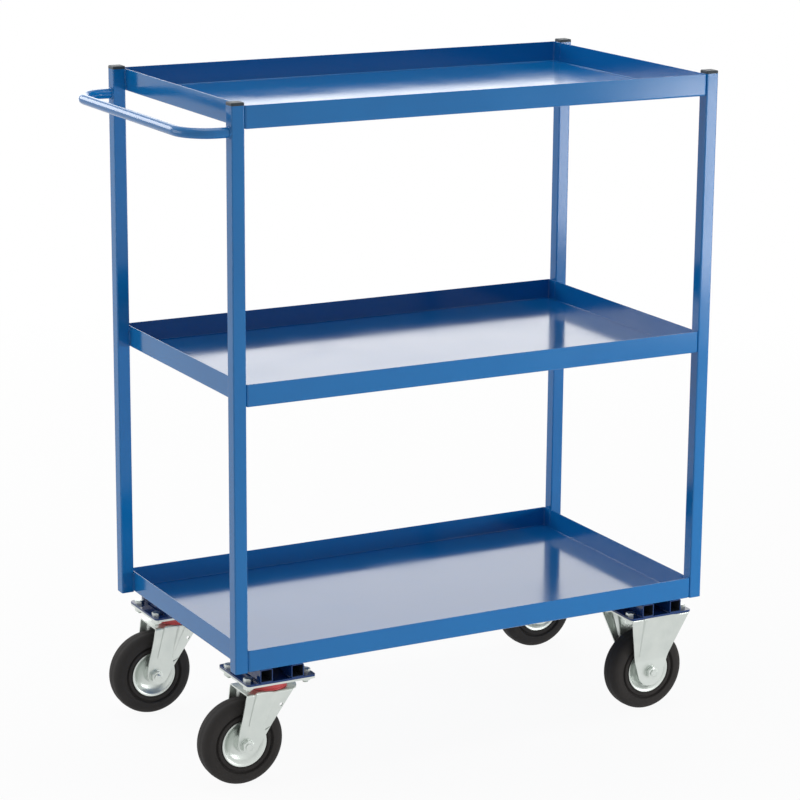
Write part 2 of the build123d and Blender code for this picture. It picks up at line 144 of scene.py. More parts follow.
def filled_box(low, high):
    """A plain box from its lowest to its highest corner, to be worked further."""
    stock = bmesh.new()
    middle, size = (low + high) / 2, high - low
    bmesh.ops.create_cube(stock, size=1, matrix=Matrix.Translation(middle) @ Matrix.Diagonal((*size, 1)))
    stock.normal_update()
    return stock


def rounded(mesh, edges, radius, segments=4):
    """Rounds some edges of a mesh."""
    bmesh.ops.bevel(
        mesh,
        geom=edges,
        offset=radius,
        offset_type="OFFSET",
        affect="EDGES",
        segments=segments,
        profile=0.5,
        material=-1,
    )
    mesh.normal_update()


def edges_along(mesh, axis):
    """The edges of a box that run along an axis."""
    return [e for e in mesh.edges if all(abs(f.normal[axis]) < 0.5 for f in e.link_faces)]


def square_tube(low, high, axis):
    """A square tube along an axis that fills a box, open at its ends. Its bore has the second finish."""
    tube = filled_box(low, high)
    rounded(tube, edges_along(tube, axis), tube_corner)
    ends = [face for face in tube.faces if abs(face.normal[axis]) > 0.5]
    bmesh.ops.delete(tube, geom=ends, context="FACES")
    bmesh.ops.solidify(tube, geom=tube.faces[:], thickness=tube_wall)
    tube.normal_update()
    for face in tube.faces:
        face.material_index = int(face.normal.dot(face.calc_center_median() - (low + high) / 2) < 0)
    return tube


def add_piece(name, mesh, finish, slot, body, *stands_for, second=None):
    """Makes a mesh a shaded piece that rides on a body and stands for CAD nodes.

    Faces with a material index of 1 have the second finish.
    """
    data = bpy.data.meshes.new(name)
    mesh.to_mesh(data)
    mesh.free()
    data.shade_smooth()
    data.set_sharp_from_angle(angle=sharp_angle)
    data.materials.append(finish)
    if second:
        data.materials.append(second)
    made = bpy.data.objects.new(name, data)
    bpy.context.scene.collection.objects.link(made)
    made.modifiers.new("flat_faces_stay_flat", "WEIGHTED_NORMAL").keep_sharp = True
    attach(made, body)
    if stands_for:
        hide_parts(*stands_for)
    return made


corners = ("rear_right", "rear_left", "front_right", "front_left")
for corner in corners:
    post = square_tube(*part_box(f"post_{corner}"), tube_along)
    add_piece(
        f"post_tube_{corner}", post, powder_coat, "blue_paint", "frame", f"post_{corner}", second=mill_scale
    )


# Trays: steel sheet folded up on all four sides, with its upright corners welded and ground round. Each tray
# is welded between the posts, its long sides flush with them, and coated together with them.
tray_sheet = 1.5 * mm
tray_corner = 4 * mm
tray_bend = 3 * mm
lip_round = 0.5 * mm
levels = ("bottom", "middle", "top")
for level in levels:
    low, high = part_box(f"{level}_tray")
    tray = filled_box(low, high)
    rounded(tray, edges_along(tray, 2), tray_corner, 5)
    rounded(tray, [e for f in tray.faces if f.normal.z < -0.5 for e in f.edges], tray_bend)
    bmesh.ops.delete(tray, geom=[f for f in tray.faces if f.normal.z > 0.5], context="FACES")
    bmesh.ops.solidify(tray, geom=tray.faces[:], thickness=tray_sheet)
    tray.normal_update()
    lip = [f for f in tray.faces if f.normal.z > 0.9 and f.calc_center_median().z > high.z - tray_sheet]
    lip_edges = [e for f in lip for e in f.edges if sum(n in lip for n in e.link_faces) == 1]
    rounded(tray, lip_edges, lip_round, 2)
    add_piece(f"{level}_tray_sheet", tray, powder_coat, "blue_paint", "frame", f"{level}_tray")


# Push handle: one length of round steel tube bent twice to a U. Its two ends are butted against the rear
# posts just under the top tray's rim, welded all round and coated with the frame.
handle_bend = 48 * mm
handle_wall = 1.5 * mm
handle_facets = 28
bend_steps = 14


def verts_in(parts):
    """The vertices among some parts of a mesh."""
    return [part for part in parts if isinstance(part, bmesh.types.BMVert)]


def edges_in(parts):
    """The edges among some parts of a mesh."""
    return [part for part in parts if isinstance(part, bmesh.types.BMEdge)]


def verts_of(edges):
    """The vertices of some edges, each once."""
    return list(dict.fromkeys(vert for edge in edges for vert in edge.verts))


def run_on(mesh, ring, step):
    """Draws an open ring of edges out by a step and returns the new ring."""
    grown = bmesh.ops.extrude_edge_only(mesh, edges=ring)["geom"]
    verts = verts_in(grown)
    bmesh.ops.translate(mesh, verts=verts, vec=step)
    return [edge for edge in edges_in(grown) if set(edge.verts) <= set(verts)]


low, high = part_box("push_handle")
handle_r = (high.z - low.z) / 2
handle_z = (high.z + low.z) / 2
bend_x = low.x + handle_r + handle_bend
handle = bmesh.new()
start = Matrix.Translation((high.x, low.y + handle_r, handle_z)) @ Matrix.Rotation(math.pi / 2, 4, "Y")
bmesh.ops.create_circle(handle, segments=handle_facets, radius=handle_r, matrix=start)
ring = run_on(handle, handle.edges[:], (bend_x - high.x, 0, 0))
straight = high.y - low.y - 2 * handle_r - 2 * handle_bend
for bend_y, step in (
    (low.y + handle_r + handle_bend, (0, straight, 0)),
    (high.y - handle_r - handle_bend, (high.x - bend_x, 0, 0)),
):
    bent = bmesh.ops.spin(
        handle,
        geom=ring + verts_of(ring),
        cent=(bend_x, bend_y, handle_z),
        axis=(0, 0, -1),
        angle=math.pi / 2,
        steps=bend_steps,
    )
    ring = run_on(handle, edges_in(bent["geom_last"]), step)
bmesh.ops.recalc_face_normals(handle, faces=handle.faces[:])
bmesh.ops.solidify(handle, geom=handle.faces[:], thickness=handle_wall)
handle_start = Vector((high.x, low.y + handle_r, handle_z))
handle_end = Vector((high.x, high.y - handle_r, handle_z))
add_piece("handle_tube", handle, powder_coat, "blue_paint", "frame", "push_handle")


# Castor risers: pairs of short square tubes, laid crosswise and welded under the bottom tray over each
# castor. They are coated with the frame, in a darker navy that is painted shade from the tray above.
castors = ("swivel_right", "swivel_left", "fixed_right", "fixed_left")
riser_along = 1
painted_shade_navy = "#123468"
painted_shade_navy_pale = "#1A3E76"

# Painted shade: the risers, their plates and their short beads take the frame's gloss coat in navy, a
# darker blue painted in for the shade under the bottom tray.
painted_shade_coat = powder_finish("painted_shade_blue_coat", painted_shade_navy, painted_shade_navy_pale)


def joined(meshes):
    """One mesh out of several."""
    whole = bmesh.new()
    for mesh in meshes:
        part = bpy.data.meshes.new("part")
        mesh.to_mesh(part)
        mesh.free()
        whole.from_mesh(part)
        bpy.data.meshes.remove(part)
    return whole


for castor in castors:
    low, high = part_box(f"risers_{castor}")
    side = high.z - low.z
    rear = square_tube(low, Vector((low.x + side, high.y, high.z)), riser_along)
    front = square_tube(Vector((high.x - side, low.y, low.z)), high, riser_along)
    pair, node = joined([rear, front]), f"risers_{castor}"
    add_piece(f"riser_tubes_{castor}", pair, painted_shade_coat, "blue_paint", "frame", node, second=mill_scale)


# Mounting plates: drilled steel plates welded under the risers and coated with them, in the same navy
# painted shade. The castors are bolted to them.
def carry_over(node, finish):
    """Gives a CAD node that is shown as it is its finish."""
    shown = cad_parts[node]
    shown.data.materials.clear()
    shown.data.materials.append(finish)


for castor in castors:
    carry_over(f"mounting_plate_{castor}", painted_shade_coat)


# Weld beads: hand-laid fillet welds under the paint. One runs up each inner corner between a tray's end and
# a post, one goes round each end of the handle, and short ones hold the risers to their plates.
tray_bead = 2.6 * mm
tray_bead_stop = 2 * mm
handle_bead = 2.2 * mm
handle_ripples = 12
ring_mean, ring_wave = 0.9, 0.12
riser_bead = 2 * mm
riser_bead_stop = 3 * mm
riser_bead_run = 24 * mm
bead_facets = 10
bead_waist = 0.6
ripple = 2.2 * mm
ripple_shape = ((0.35, 1.5), (0.4, 1.0), (0.25, 0.667))


def weld_bead(start, end, radius):
    """A straight bead of overlapping ripples from start to end: each swells, runs on and draws in again."""
    bead = bmesh.new()
    run = end - start
    turns = max(2, round(run.length / ripple))
    facing = run.to_track_quat("Z", "Y").to_matrix().to_4x4()
    foot = Matrix.Translation(start) @ facing
    bmesh.ops.create_circle(bead, segments=bead_facets, radius=radius * bead_waist, matrix=foot)
    ring = bead.edges[:]
    for turn in range(turns):
        for along, swell in ripple_shape:
            ring = run_on(bead, ring, run * along / turns)
            verts = verts_of(ring)
            middle = sum((v.co for v in verts), Vector()) / len(verts)
            bmesh.ops.scale(bead, verts=verts, vec=(swell,) * 3, space=Matrix.Translation(-middle))
    bmesh.ops.holes_fill(bead, edges=[e for e in bead.edges if e.is_boundary], sides=0)
    bmesh.ops.recalc_face_normals(bead, faces=bead.faces[:])
    return bead


def ring_bead(middle, axis, ring_r, radius, ripples):
    """A rippled bead all round the end of a round tube. A ripple has four steps."""
    bead = bmesh.new()
    facing = axis.to_track_quat("Z", "Y").to_matrix().to_4x4()
    edge = Matrix.Translation((ring_r, 0, 0)) @ Matrix.Rotation(math.pi / 2, 4, "X")
    bmesh.ops.create_circle(bead, segments=bead_facets, radius=radius, matrix=edge)
    bmesh.ops.spin(
        bead,
        geom=bead.verts[:] + bead.edges[:],
        cent=(0, 0, 0),
        axis=(0, 0, 1),
        angle=math.tau,
        steps=4 * ripples,
        use_merge=True,
    )
    for vert in bead.verts:
        turn = math.atan2(vert.co.y, vert.co.x)
        rim = Vector((math.cos(turn), math.sin(turn), 0)) * ring_r
        vert.co = rim + (vert.co - rim) * (ring_mean + ring_wave * math.cos(ripples * turn))
    bmesh.ops.recalc_face_normals(bead, faces=bead.faces[:])
    bmesh.ops.transform(bead, matrix=Matrix.Translation(middle) @ facing, verts=bead.verts[:])
    return bead


beads = []
for level in levels:
    tray_low, tray_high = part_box(f"{level}_tray")
    for corner in corners:
        post_low, post_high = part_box(f"post_{corner}")
        x = tray_low.x if "rear" in corner else tray_high.x
        y = post_high.y if "right" in corner else post_low.y
        foot = Vector((x, y, tray_low.z + tray_bead_stop))
        top = Vector((x, y, tray_high.z - tray_bead_stop))
        beads.append(weld_bead(foot, top, tray_bead))
for end in (handle_start, handle_end):
    beads.append(ring_bead(end, Vector((-1, 0, 0)), handle_r, handle_bead, handle_ripples))
for castor in castors:
    low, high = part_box(f"risers_{castor}")
    side = high.z - low.z
    for x in (low.x, low.x + side, high.x - side, high.x):
        for y in (low.y + riser_bead_stop, high.y - riser_bead_stop - riser_bead_run):
            start = Vector((x, y, low.z))
            beads.append(weld_bead(start, start + Vector((0, riser_bead_run, 0)), riser_bead))
            # The risers' beads take the navy painted shade of their plates.
            for face in beads[-1].faces:
                face.material_index = 1
add_piece("weld_beads", joined(beads), powder_coat, "blue_paint", "frame", second=painted_shade_coat)


# Post caps: push-in end caps moulded in black plastic, one in the top of each post. A finned plug below the
# head grips the tube's bore.
cap_black = "#1B252C"
cap_black_worn = "#27333B"
cap_head = 4.5 * mm
cap_round = 1.5 * mm
cap_core = 12 * mm
cap_fin = 1.4 * mm
cap_fins = 3
fin_gap = 0.15 * mm
cap_plug = 15 * mm
cap_grain = 1.2 * mm

# Moulded polyethylene: a satin black skin with a fine spark-eroded grain, drawn about four times as coarse
# as the real 0.3 mm so that it shows.
cap_plastic, tree = new_finish("black_polyethylene")
place = add_node(tree, "ShaderNodeTexCoord").outputs["Object"]
grain = add_node(tree, "ShaderNodeTexNoise", {"Vector": place, "Scale": 1 / cap_grain, "Detail": 2})
shade = add_node(
    tree,
    "ShaderNodeMix",
    {0: grain.outputs["Fac"], 6: linear(cap_black), 7: linear(cap_black_worn)},
    data_type="RGBA",
)
skin = add_node(
    tree, "ShaderNodeBump", {"Height": grain.outputs["Fac"], "Strength": 0.4, "Distance": 0.05 * mm}
)
plastic = add_node(
    tree,
    "ShaderNodeBsdfPrincipled",
    {"Base Color": shade.outputs[2], "Roughness": 0.5, "IOR": 1.45, "Normal": skin.outputs["Normal"]},
)
add_node(tree, "ShaderNodeOutputMaterial", {"Surface": plastic.outputs["BSDF"]})

caps = []
for corner in corners:
    low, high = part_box(f"post_{corner}")
    head = filled_box(Vector((low.x, low.y, high.z)), Vector((high.x, high.y, high.z + cap_head)))
    rounded(head, edges_along(head, tube_along), tube_corner)
    rounded(head, [e for f in head.faces if f.normal.z > 0.5 for e in f.edges], cap_round)
    caps.append(head)
    middle = (low + high) / 2
    fin_half = (high.x - low.x) / 2 - tube_wall - fin_gap
    fin_feet = [cap_plug * (fin + 1) / cap_fins for fin in range(cap_fins)]
    fins = [(fin_half, foot - cap_fin, foot) for foot in fin_feet]
    for half, top, foot in [(cap_core / 2, 0, cap_plug), *fins]:
        reach = Vector((half, half, 0))
        foot_corner = Vector((middle.x, middle.y, high.z - foot)) - reach
        top_corner = Vector((middle.x, middle.y, high.z - top)) + reach
        caps.append(filled_box(foot_corner, top_corner))
add_piece("end_caps", joined(caps), cap_plastic, "cap_plastic", "frame", "post_caps")


# Castor bolts and nuts: zinc-plated M8 hexagon bolts pushed down through both plates, four to a castor, with
# a hexagon nut below.
bolt_flats = 13 * mm
bolt_r = 4 * mm
bolt_pitch = 1.25 * mm
bolt_span_x = 92 * mm
bolt_span_y = 67 * mm
head_steps = 45
head_chamfer = math.radians(30)
thread_steps = 20
merged_within = 0.001 * mm
zinc_light = "#DADFDA"
zinc_dark = "#C5CCC8"
zinc_cloud = 25 * mm
zinc_grain = 1.5 * mm

# Bright zinc plating: pale blue-white metal with a fine satin grain from the pressed sheet below it, some
# 0.5 mm wide and drawn three times as coarse, and slow clouds where the bath left it brighter or duller.
zinc_plate, tree = new_finish("bright_zinc_plate")
place = add_node(tree, "ShaderNodeTexCoord").outputs["Object"]
clouds = add_node(tree, "ShaderNodeTexNoise", {"Vector": place, "Scale": 1 / zinc_cloud, "Detail": 3})
grain = add_node(tree, "ShaderNodeTexNoise", {"Vector": place, "Scale": 1 / zinc_grain, "Detail": 2})
tone = add_node(
    tree,
    "ShaderNodeMix",
    {0: clouds.outputs["Fac"], 6: linear(zinc_light), 7: linear(zinc_dark)},
    data_type="RGBA",
)
dull = add_node(
    tree,
    "ShaderNodeMapRange",
    {"Value": clouds.outputs["Fac"], "From Min": 0.3, "From Max": 0.7, "To Min": 0.3, "To Max": 0.42},
)
skin = add_node(
    tree, "ShaderNodeBump", {"Height": grain.outputs["Fac"], "Strength": 0.15, "Distance": 0.02 * mm}
)
zinc = add_node(
    tree,
    "ShaderNodeBsdfPrincipled",
    {
        "Base Color": tone.outputs[2],
        "Metallic": 1.0,
        "Roughness": dull.outputs["Result"],
        "Normal": skin.outputs["Normal"],
    },
)
add_node(tree, "ShaderNodeOutputMaterial", {"Surface": zinc.outputs["BSDF"]})


def turned(line, steps, rounds=None):
    """A piece turned about Z from a line of (radius, height) points, some rounded by (size, segments)."""
    lathe = bmesh.new()
    points = [lathe.verts.new((radius, 0, height)) for radius, height in line]
    for before, after in zip(points, points[1:]):
        lathe.edges.new((before, after))
    for number, (size, segments) in (rounds or {}).items():
        bmesh.ops.bevel(
            lathe,
            geom=[points[number]],
            offset=size,
            offset_type="OFFSET",
            affect="VERTICES",
            segments=segments,
            profile=0.5,
            material=-1,
        )
    bmesh.ops.spin(
        lathe,
        geom=lathe.verts[:] + lathe.edges[:],
        cent=(0, 0, 0),
        axis=(0, 0, 1),
        angle=math.tau,
        steps=steps,
        use_merge=True,
    )
    bmesh.ops.remove_doubles(lathe, verts=lathe.verts[:], dist=merged_within)
    bmesh.ops.recalc_face_normals(lathe, faces=lathe.faces[:])
    return lathe


def hexagon(flats, foot, top, chamfered_foot=True):
    """A hexagon nut or head between two heights: a chamfered disc with six flats cut off it.

    The disc is a little wider than the corners, and none of its steps falls on one.
    """
    corner_r = 1.01 * flats / math.sqrt(3)
    face_r = 0.475 * flats
    slope = (corner_r - face_r) * math.tan(head_chamfer)
    line = [(0, foot), (corner_r, foot)]
    if chamfered_foot:
        line = [(0, foot), (face_r, foot), (corner_r, foot + slope)]
    line += [(corner_r, top - slope), (face_r, top), (0, top)]
    head = turned(line, head_steps)
    for number in range(6):
        turn = number * math.pi / 3
        out = Vector((math.cos(turn), math.sin(turn), 0))
        bmesh.ops.bisect_plane(
            head,
            geom=head.verts[:] + head.edges[:] + head.faces[:],
            plane_co=out * flats / 2,
            plane_no=out,
            clear_outer=True,
        )
        bmesh.ops.holes_fill(head, edges=[e for e in head.edges if e.is_boundary], sides=0)
    return head


def thread(radius, pitch, foot, top):
    """A threaded end: ridges one pitch apart and 0.6 of a pitch deep, and a chamfered tip at its foot."""
    root = radius - 0.6 * pitch
    turns = int((top - foot) / pitch)
    line = [(0, foot), (root, foot)]
    for turn in range(turns):
        line += [(radius, foot + (turn + 0.5) * pitch), (root, foot + (turn + 1) * pitch)]
    return turned(line + [(root, top), (0, top)], thread_steps)


def placed(template, places):
    """Copies of a mesh at several places; the mesh itself is used up."""
    pattern = template.verts[:] + template.edges[:] + template.faces[:]
    for spot in places:
        copy = bmesh.ops.duplicate(template, geom=pattern)["geom"]
        bmesh.ops.translate(template, verts=verts_in(copy), vec=spot)
    bmesh.ops.delete(template, geom=verts_in(pattern), context="VERTS")
    return template


def middle_of(node):
    """The middle of a CAD node's box."""
    low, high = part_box(node)
    return (low + high) / 2


low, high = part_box("castor_bolts")
nut_low, nut_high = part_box("castor_nuts")
bolt_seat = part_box("mounting_plate_fixed_right")[1].z
bolt_places = []
for castor in castors:
    middle = middle_of(f"mounting_plate_{castor}")
    bolt_places += [
        (middle.x + along * bolt_span_x / 2, middle.y + across * bolt_span_y / 2, 0)
        for along in (-1, 1)
        for across in (-1, 1)
    ]
head = hexagon(bolt_flats, bolt_seat, high.z, chamfered_foot=False)
bolt = joined([head, thread(bolt_r, bolt_pitch, low.z, bolt_seat)])
add_piece("hexagon_bolts", placed(bolt, bolt_places), zinc_plate, "zinc_steel", "frame", "castor_bolts")
nut = hexagon(bolt_flats, nut_low.z, nut_high.z)
add_piece("hexagon_nuts", placed(nut, bolt_places), zinc_plate, "zinc_steel", "frame", "castor_nuts")


# Swivel heads: a zinc-plated top plate with a cup pressed into it, a headed king pin with its washer and
# nut, and a ring of balls that the fork turns on.
sides = ("right", "left")
king_flats = 19 * mm
steel_grey = "#C4C6C8"
running_mark = 2 * mm
for side in sides:
    carry_over(f"swivel_plate_{side}", zinc_plate)
    carry_over(f"king_pin_{side}", zinc_plate)
carry_over("thrust_washers", zinc_plate)
low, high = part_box("king_nuts")
heads = [middle_of(f"swivel_seal_{side}") for side in sides]
nut = placed(hexagon(king_flats, low.z, high.z), [(head.x, head.y, 0) for head in heads])
add_piece("king_pin_nuts", nut, zinc_plate, "zinc_steel", "frame", "king_nuts")

# Polished bearing steel: a mirror finish with faint running marks.
ball_steel, tree = new_finish("polished_bearing_steel")
place = add_node(tree, "ShaderNodeTexCoord").outputs["Object"]
marks = add_node(tree, "ShaderNodeTexNoise", {"Vector": place, "Scale": 1 / running_mark, "Detail": 2})
worn = add_node(tree, "ShaderNodeMapRange", {"Value": marks.outputs["Fac"], "To Min": 0.06, "To Max": 0.2})
steel = add_node(
    tree,
    "ShaderNodeBsdfPrincipled",
    {"Base Color": linear(steel_grey), "Metallic": 1.0, "Roughness": worn.outputs["Result"]},
)
add_node(tree, "ShaderNodeOutputMaterial", {"Surface": steel.outputs["BSDF"]})
carry_over("swivel_balls", ball_steel)


# Swivel seals: red plastic skirts pressed on round the ball rings, each from the top plate down to a flared
# lip just above the fork.
seal_wall = 1.5 * mm
seal_lip = 1.5 * mm
seal_steps = 64
seal_round = (0.5 * mm, 3)
seal_flare = (0.8 * mm, 3)
seal_red = "#B83A3E"
seal_red_worn = "#C44A4B"
seal_mottle = 4 * mm

# Moulded nylon: an even satin red, slightly mottled, with a fine moulded skin.
seal_plastic, tree = new_finish("red_nylon")
place = add_node(tree, "ShaderNodeTexCoord").outputs["Object"]
mottle = add_node(tree, "ShaderNodeTexNoise", {"Vector": place, "Scale": 1 / seal_mottle, "Detail": 3})
shade = add_node(
    tree,
    "ShaderNodeMix",
    {0: mottle.outputs["Fac"], 6: linear(seal_red), 7: linear(seal_red_worn)},
    data_type="RGBA",
)
skin = add_node(
    tree, "ShaderNodeBump", {"Height": mottle.outputs["Fac"], "Strength": 0.3, "Distance": 0.04 * mm}
)
plastic = add_node(
    tree,
    "ShaderNodeBsdfPrincipled",
    {"Base Color": shade.outputs[2], "Roughness": 0.4, "IOR": 1.53, "Normal": skin.outputs["Normal"]},
)
add_node(tree, "ShaderNodeOutputMaterial", {"Surface": plastic.outputs["BSDF"]})
for side in sides:
    low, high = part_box(f"swivel_seal_{side}")
    lip_r = (high.x - low.x) / 2
    outer_r = lip_r - seal_lip
    inner_r = outer_r - seal_wall
    middle_z = (low.z + high.z) / 2
    line = [
        (outer_r, middle_z),
        (outer_r, high.z),
        (inner_r, high.z),
        (inner_r, low.z),
        (lip_r, low.z),
        (lip_r, low.z + seal_lip),
        (outer_r, low.z + 2 * seal_lip),
        (outer_r, middle_z),
    ]
    seal = turned(line, seal_steps, {1: seal_round, 4: seal_round, 5: seal_round, 6: seal_flare})
    bmesh.ops.translate(seal, verts=seal.verts[:], vec=((low.x + high.x) / 2, (low.y + high.y) / 2, 0))
    add_piece(f"seal_skirt_{side}", seal, seal_plastic, "seal_plastic", "frame", f"swivel_seal_{side}")


# Forks: each is one pressing of zinc-plated sheet. A swivel fork has a round-fronted crown with a raised
# dish for the balls and two trailing legs; a fixed fork's legs lean in from its own bolted plate. A channel
# is pressed into each leg and runs out above the axle.
fork_sheet = 2.5 * mm
leg_web = 25 * mm
leg_flat = 24 * mm
fold_round = 3.3 * mm
fold_end = 1.5 * mm
press_bend = 4 * mm
run_out_bend = 6 * mm
sheet_edge = 0.4 * mm
sheared_edge = math.radians(70)
leg_end_steps = 18
same_place = 0.01 * mm
axles = {castor: middle_of(f"tyre_{castor}") for castor in castors}
axle_z = axles["fixed_right"].z


def soft_line(mesh, points, radius):
    """A line of edges through points, its inner corners rounded. Gives its two ends and its edges."""
    verts = [mesh.verts.new(point) for point in points]
    for before, after in zip(verts, verts[1:]):
        mesh.edges.new((before, after))
    start, end = verts[0], verts[-1]
    bmesh.ops.bevel(
        mesh,
        geom=verts[1:-1],
        offset=radius,
        offset_type="OFFSET",
        affect="VERTICES",
        segments=3,
        profile=0.5,
        material=-1,
    )
    edges, vert = [], start
    while vert != end:
        edges.append(next(edge for edge in vert.link_edges if edge not in edges))
        vert = edges[-1].other_vert(vert)
    return start, end, edges


def arc_from(mesh, vert, middle, axis, angle, steps):
    """Draws a vertex out along an arc. Gives the arc's last vertex and its edges."""
    known = set(mesh.edges)
    last = bmesh.ops.spin(mesh, geom=[vert], cent=middle, axis=axis, angle=angle, steps=steps)["geom_last"]
    return verts_in(last)[0], [edge for edge in mesh.edges if edge not in known]


def pressed_leg(mesh, top_line, web_x, end_middle, end_r):
    """The right-hand leg's outer face, from its top line to its round end.

    Gives the top line's two ends and its edges.
    """
    turns, feet = [], []
    for corner, way in ((top_line[0], 1), (top_line[-1], -1)):
        away = corner - end_middle
        turns.append(math.atan2(away.z, away.x) + way * math.acos(end_r / math.hypot(away.x, away.z)))
        feet.append(end_middle + end_r * Vector((math.cos(turns[-1]), 0, math.sin(turns[-1]))))
    flat_z = axle_z + leg_flat
    back, front = (
        corner.lerp(foot, (corner.z - flat_z) / (corner.z - foot.z)).x
        for corner, foot in zip((top_line[0], top_line[-1]), feet)
    )
    flat_x = (back, web_x[0] - fold_end, web_x[0], web_x[1], web_x[1] + fold_end, front)
    flat_line = [Vector((x, -leg_web, flat_z)) for x in flat_x]
    foot_line = [feet[0].lerp(feet[1], (x - back) / (front - back)) for x in flat_x]
    start, end, top = soft_line(mesh, top_line, fold_round)
    flat = soft_line(mesh, flat_line, fold_end / 4)[2]
    foot_start, foot_end, foot = soft_line(mesh, foot_line, fold_end / 4)
    bmesh.ops.bridge_loops(mesh, edges=top + flat)
    bmesh.ops.bridge_loops(mesh, edges=flat + foot)
    round_end = turns[1] - turns[0] + math.tau
    tip = arc_from(mesh, foot_end, end_middle, (0, 1, 0), round_end, leg_end_steps)[0]
    bmesh.ops.weld_verts(mesh, targetmap={tip: foot_start})
    bmesh.ops.contextual_create(mesh, geom=foot + [edge for edge in mesh.edges if edge.is_wire])
    return start, end, top


def pressed_sheet(mesh, place):
    """Mirrors half a fork, softens its bends, gives it its thickness and puts it in its place."""
    half = mesh.verts[:] + mesh.edges[:] + mesh.faces[:]
    bmesh.ops.mirror(mesh, geom=half, axis="Y", merge_dist=same_place)
    bmesh.ops.remove_doubles(mesh, verts=mesh.verts[:], dist=same_place)
    bmesh.ops.recalc_face_normals(mesh, faces=mesh.faces[:])
    mesh.normal_update()
    if max(mesh.faces, key=lambda face: face.calc_area() * abs(face.normal.z)).normal.z < 0:
        bmesh.ops.reverse_faces(mesh, faces=mesh.faces[:])
    mesh.normal_update()
    flat_z = axle_z + leg_flat
    run_out = [e for e in mesh.edges if all(abs(v.co.z - flat_z) < same_place for v in e.verts)]
    rounded(mesh, [e for e in run_out if len(e.link_faces) == 2], run_out_bend, 4)
    bends = [
        edge
        for edge in mesh.edges
        if len(edge.link_faces) == 2
        and max(face.normal.z for face in edge.link_faces) > 0.9
        and min(abs(face.normal.z) for face in edge.link_faces) < 0.45
    ]
    rounded(mesh, bends, press_bend, 5)
    bmesh.ops.solidify(mesh, geom=mesh.faces[:], thickness=fork_sheet)
    mesh.normal_update()
    rims = [e for e in mesh.edges if len(e.link_faces) == 2 and e.calc_face_angle() > sheared_edge]
    rounded(mesh, rims, sheet_edge, 2)
    bmesh.ops.remove_doubles(mesh, verts=mesh.verts[:], dist=merged_within)
    bmesh.ops.translate(mesh, verts=mesh.verts[:], vec=place)
    return mesh


# Swivel forks: sizes along X from the swivel axis, and the crown's height.
crown_x = [x * mm for x in (-46, -33, -29, -5, 3, 29)]
crown_y = [y * mm for y in (-31, -31, -25, -25, -31, -31)]
crown_front = 43 * mm
channel_lean = 12 * mm
swivel_end_r = 18 * mm
swivel_end_shift = Vector((4 * mm, 0, 3 * mm))
leg_hole_r = 2.5 * mm
leg_hole_x = 9 * mm
leg_hole_drop = 23 * mm
leg_hole_steps = 16
dish_foot_r, dish_top_r, dish_bore_r = 25 * mm, 22.5 * mm, 6.06 * mm
dish_rise = 3.8 * mm
dish_round = 1 * mm
dish_steps = 32
nose_steps = 5
for side in sides:
    axis = middle_of(f"swivel_seal_{side}")
    axis.z = 0
    dish_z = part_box(f"swivel_fork_{side}")[1].z
    crown_z = dish_z - dish_rise
    fork = bmesh.new()
    top_line = [Vector((x, y, crown_z)) for x, y in zip(crown_x, crown_y)]
    end_middle = axles[f"swivel_{side}"] - axis + swivel_end_shift
    end_middle.y = -leg_web
    web_x = (crown_x[2] - channel_lean, crown_x[3] - channel_lean)
    back, front, top = pressed_leg(fork, top_line, web_x, end_middle, swivel_end_r)

    # The leg's hole in the front flange
    drop = leg_hole_drop / (crown_z - axle_z - leg_flat)
    hole = Vector((leg_hole_x, crown_y[5] + (-leg_web - crown_y[5]) * drop, crown_z - leg_hole_drop))
    fork.normal_update()
    flange = front.link_faces[0]
    facing = Matrix.Translation(hole) @ flange.normal.to_track_quat("Z", "Y").to_matrix().to_4x4()
    around = flange.edges[:]
    bmesh.ops.delete(fork, geom=[flange], context="FACES_ONLY")
    ring = bmesh.ops.create_circle(fork, segments=leg_hole_steps, radius=leg_hole_r, matrix=facing)
    rim = [edge for edge in fork.edges if set(edge.verts) <= set(ring["verts"])]
    bmesh.ops.bridge_loops(fork, edges=around + rim)

    # The crown's right half round the dish
    dish_start = [
        Vector((dish_foot_r, 0, crown_z)),
        Vector((dish_top_r, 0, dish_z)),
        Vector((dish_bore_r, 0, dish_z)),
    ]
    dish = soft_line(fork, dish_start, dish_round)
    known = set(fork.edges) - set(dish[2])
    bmesh.ops.spin(
        fork,
        geom=dish[2] + verts_of(dish[2]),
        cent=(0, 0, 0),
        axis=(0, 0, 1),
        angle=-math.pi,
        steps=dish_steps,
    )
    dish_foot = [
        edge
        for edge in fork.edges
        if edge not in known and all(abs(v.co.z - crown_z) < same_place for v in edge.verts)
    ]
    half_chord, rise = -crown_y[5], crown_front - crown_x[5]
    front_r = (half_chord**2 + rise**2) / (2 * rise)
    front_middle = Vector((crown_front - front_r, 0, crown_z))
    front_turn = math.asin(half_chord / front_r)
    nose, nose_edges = arc_from(fork, front, front_middle, (0, 0, 1), front_turn, nose_steps)
    nose.co.y = 0
    dish_ends = sorted(verts_of(dish_foot), key=lambda vert: vert.co.x)
    tail = fork.verts.new((crown_x[0], 0, crown_z))
    links = [fork.edges.new(pair) for pair in ((nose, dish_ends[-1]), (dish_ends[0], tail), (tail, back))]
    bmesh.ops.contextual_create(fork, geom=top + nose_edges + dish_foot + links)
    pressed_sheet(fork, axis)
    body = f"swivel_fork_{side}"
    add_piece(f"pressed_fork_swivel_{side}", fork, zinc_plate, "zinc_steel", body, f"swivel_fork_{side}")

